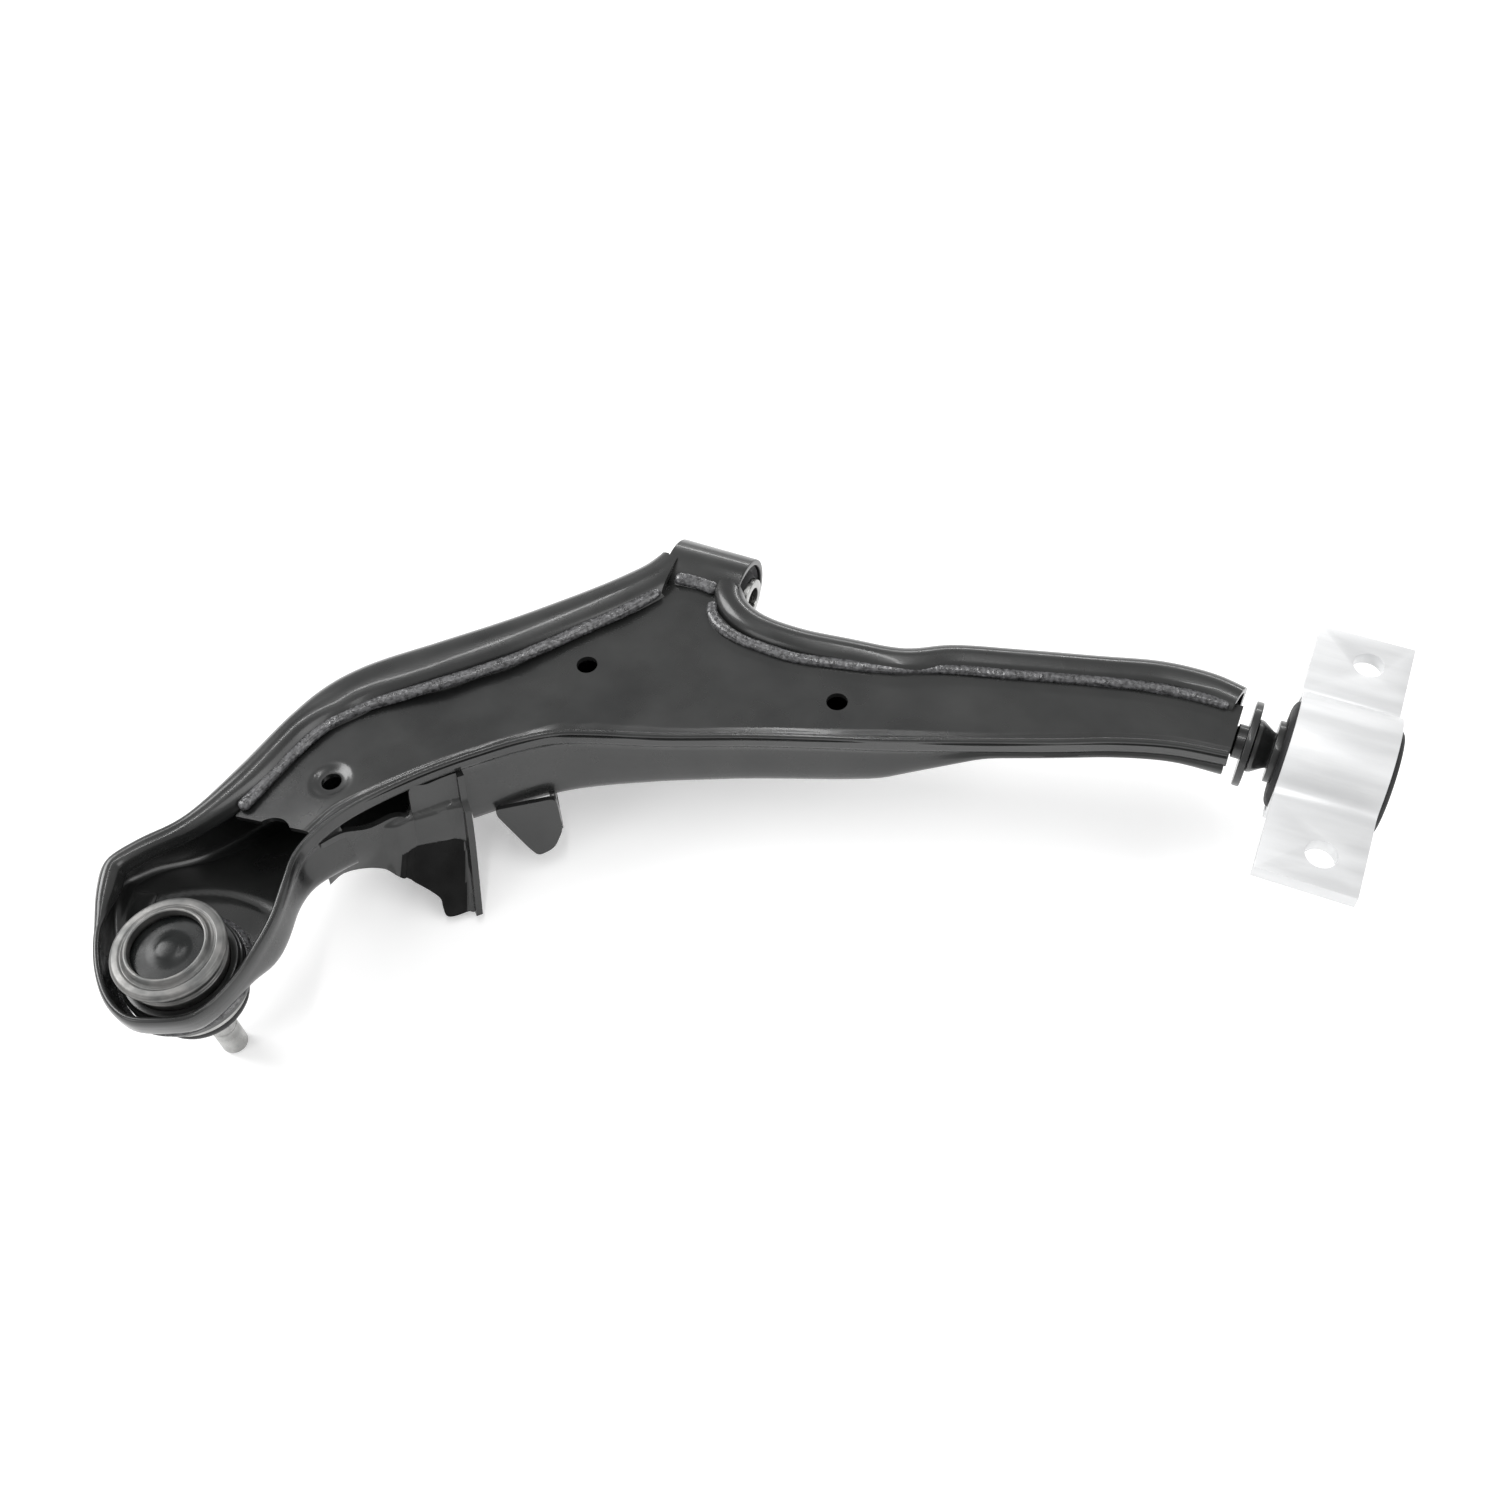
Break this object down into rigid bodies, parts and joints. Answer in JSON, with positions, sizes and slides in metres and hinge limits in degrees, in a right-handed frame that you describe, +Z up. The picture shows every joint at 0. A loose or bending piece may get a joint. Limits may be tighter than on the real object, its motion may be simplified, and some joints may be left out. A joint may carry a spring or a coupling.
{
  "type": "suspension control arm",
  "caption": "Pressed-steel lower suspension arm with a horizontal front bush, a rear bush in a clamp bracket with two ears, and a ball joint in a dish at its outer end.",
  "frame": {"origin": "centre of the rear pin's flat end face, on the hinge axis that both bushes share", "axes": "+X along the hinge axis, out of the pin's end; +Z up, with the ball stud pointing down; the ball joint lies towards -X and -Y"},
  "size_m": [0.5108, 0.3874, 0.096],
  "materials": {
    "black_coat": "semi-gloss black dip coat",
    "weld_metal": "rippled weld under black dip coat",
    "plain_steel": "plain turned steel",
    "aluminium": "satin extrusion",
    "rubber": "matt",
    "gloss_cover": "smooth black",
    "polymer": "off-white bearing polymer"
  },
  "bodies": {
    "arm": {"lower_shell": "black_coat", "top_plate": "black_coat", "plate_weld_left": "weld_metal", "plate_weld_right": "weld_metal", "sleeve_saddle_weld": "weld_metal", "front_bush_outer_sleeve": "black_coat", "front_bush_rubber": "rubber", "rear_pin": "black_coat", "rear_pin_washer": "black_coat", "rear_bush_inner_sleeve": "black_coat", "stabiliser_tab_bracket": "black_coat", "stabiliser_ear_bracket": "black_coat", "ball_joint_collar": "black_coat", "collar_weld": "black_coat", "ball_joint_housing": "plain_steel", "ball_joint_cover": "gloss_cover", "preload_washer": "plain_steel", "snap_ring": "plain_steel", "boot_large_ring": "plain_steel"},
    "front_inner": {"front_bush_inner_sleeve": "plain_steel"},
    "rear_mount": {"rear_bracket": "aluminium", "rear_bush_outer_sleeve": "plain_steel", "rear_bush_rubber": "rubber"},
    "seat": {"ball_seat": "polymer", "dust_boot": "rubber"},
    "boot_end": {"boot_small_ring": "plain_steel"},
    "stud": {"ball_stud": "plain_steel"}
  },
  "joints": [
    {"name": "front_bush_twist", "type": "hinge", "parent": "arm", "child": "front_inner", "pos_m": [-0.331, 0, 0], "axis": [1, 0, 0], "range_deg": [-25, 25], "stiffness_Nm_per_rad": 1},
    {"name": "rear_bush_twist", "type": "hinge", "parent": "arm", "child": "rear_mount", "pos_m": [-0.024, 0, 0], "axis": [1, 0, 0], "range_deg": [-30, 30], "stiffness_Nm_per_rad": 60},
    {"name": "seat_spin", "type": "hinge", "parent": "arm", "child": "seat", "pos_m": [-0.4503, -0.283, 0.002], "axis": [0, 0, 1], "continuous": true},
    {"name": "stud_tilt", "type": "hinge", "parent": "seat", "child": "boot_end", "pos_m": [-0.4503, -0.283, 0.002], "axis": [1, 0, 0], "range_deg": [-25, 25], "deforming": ["dust_boot"]},
    {"name": "stud_spin", "type": "hinge", "parent": "boot_end", "child": "stud", "pos_m": [-0.4503, -0.283, 0.002], "axis": [0, 0, 1], "continuous": true}
  ]
}
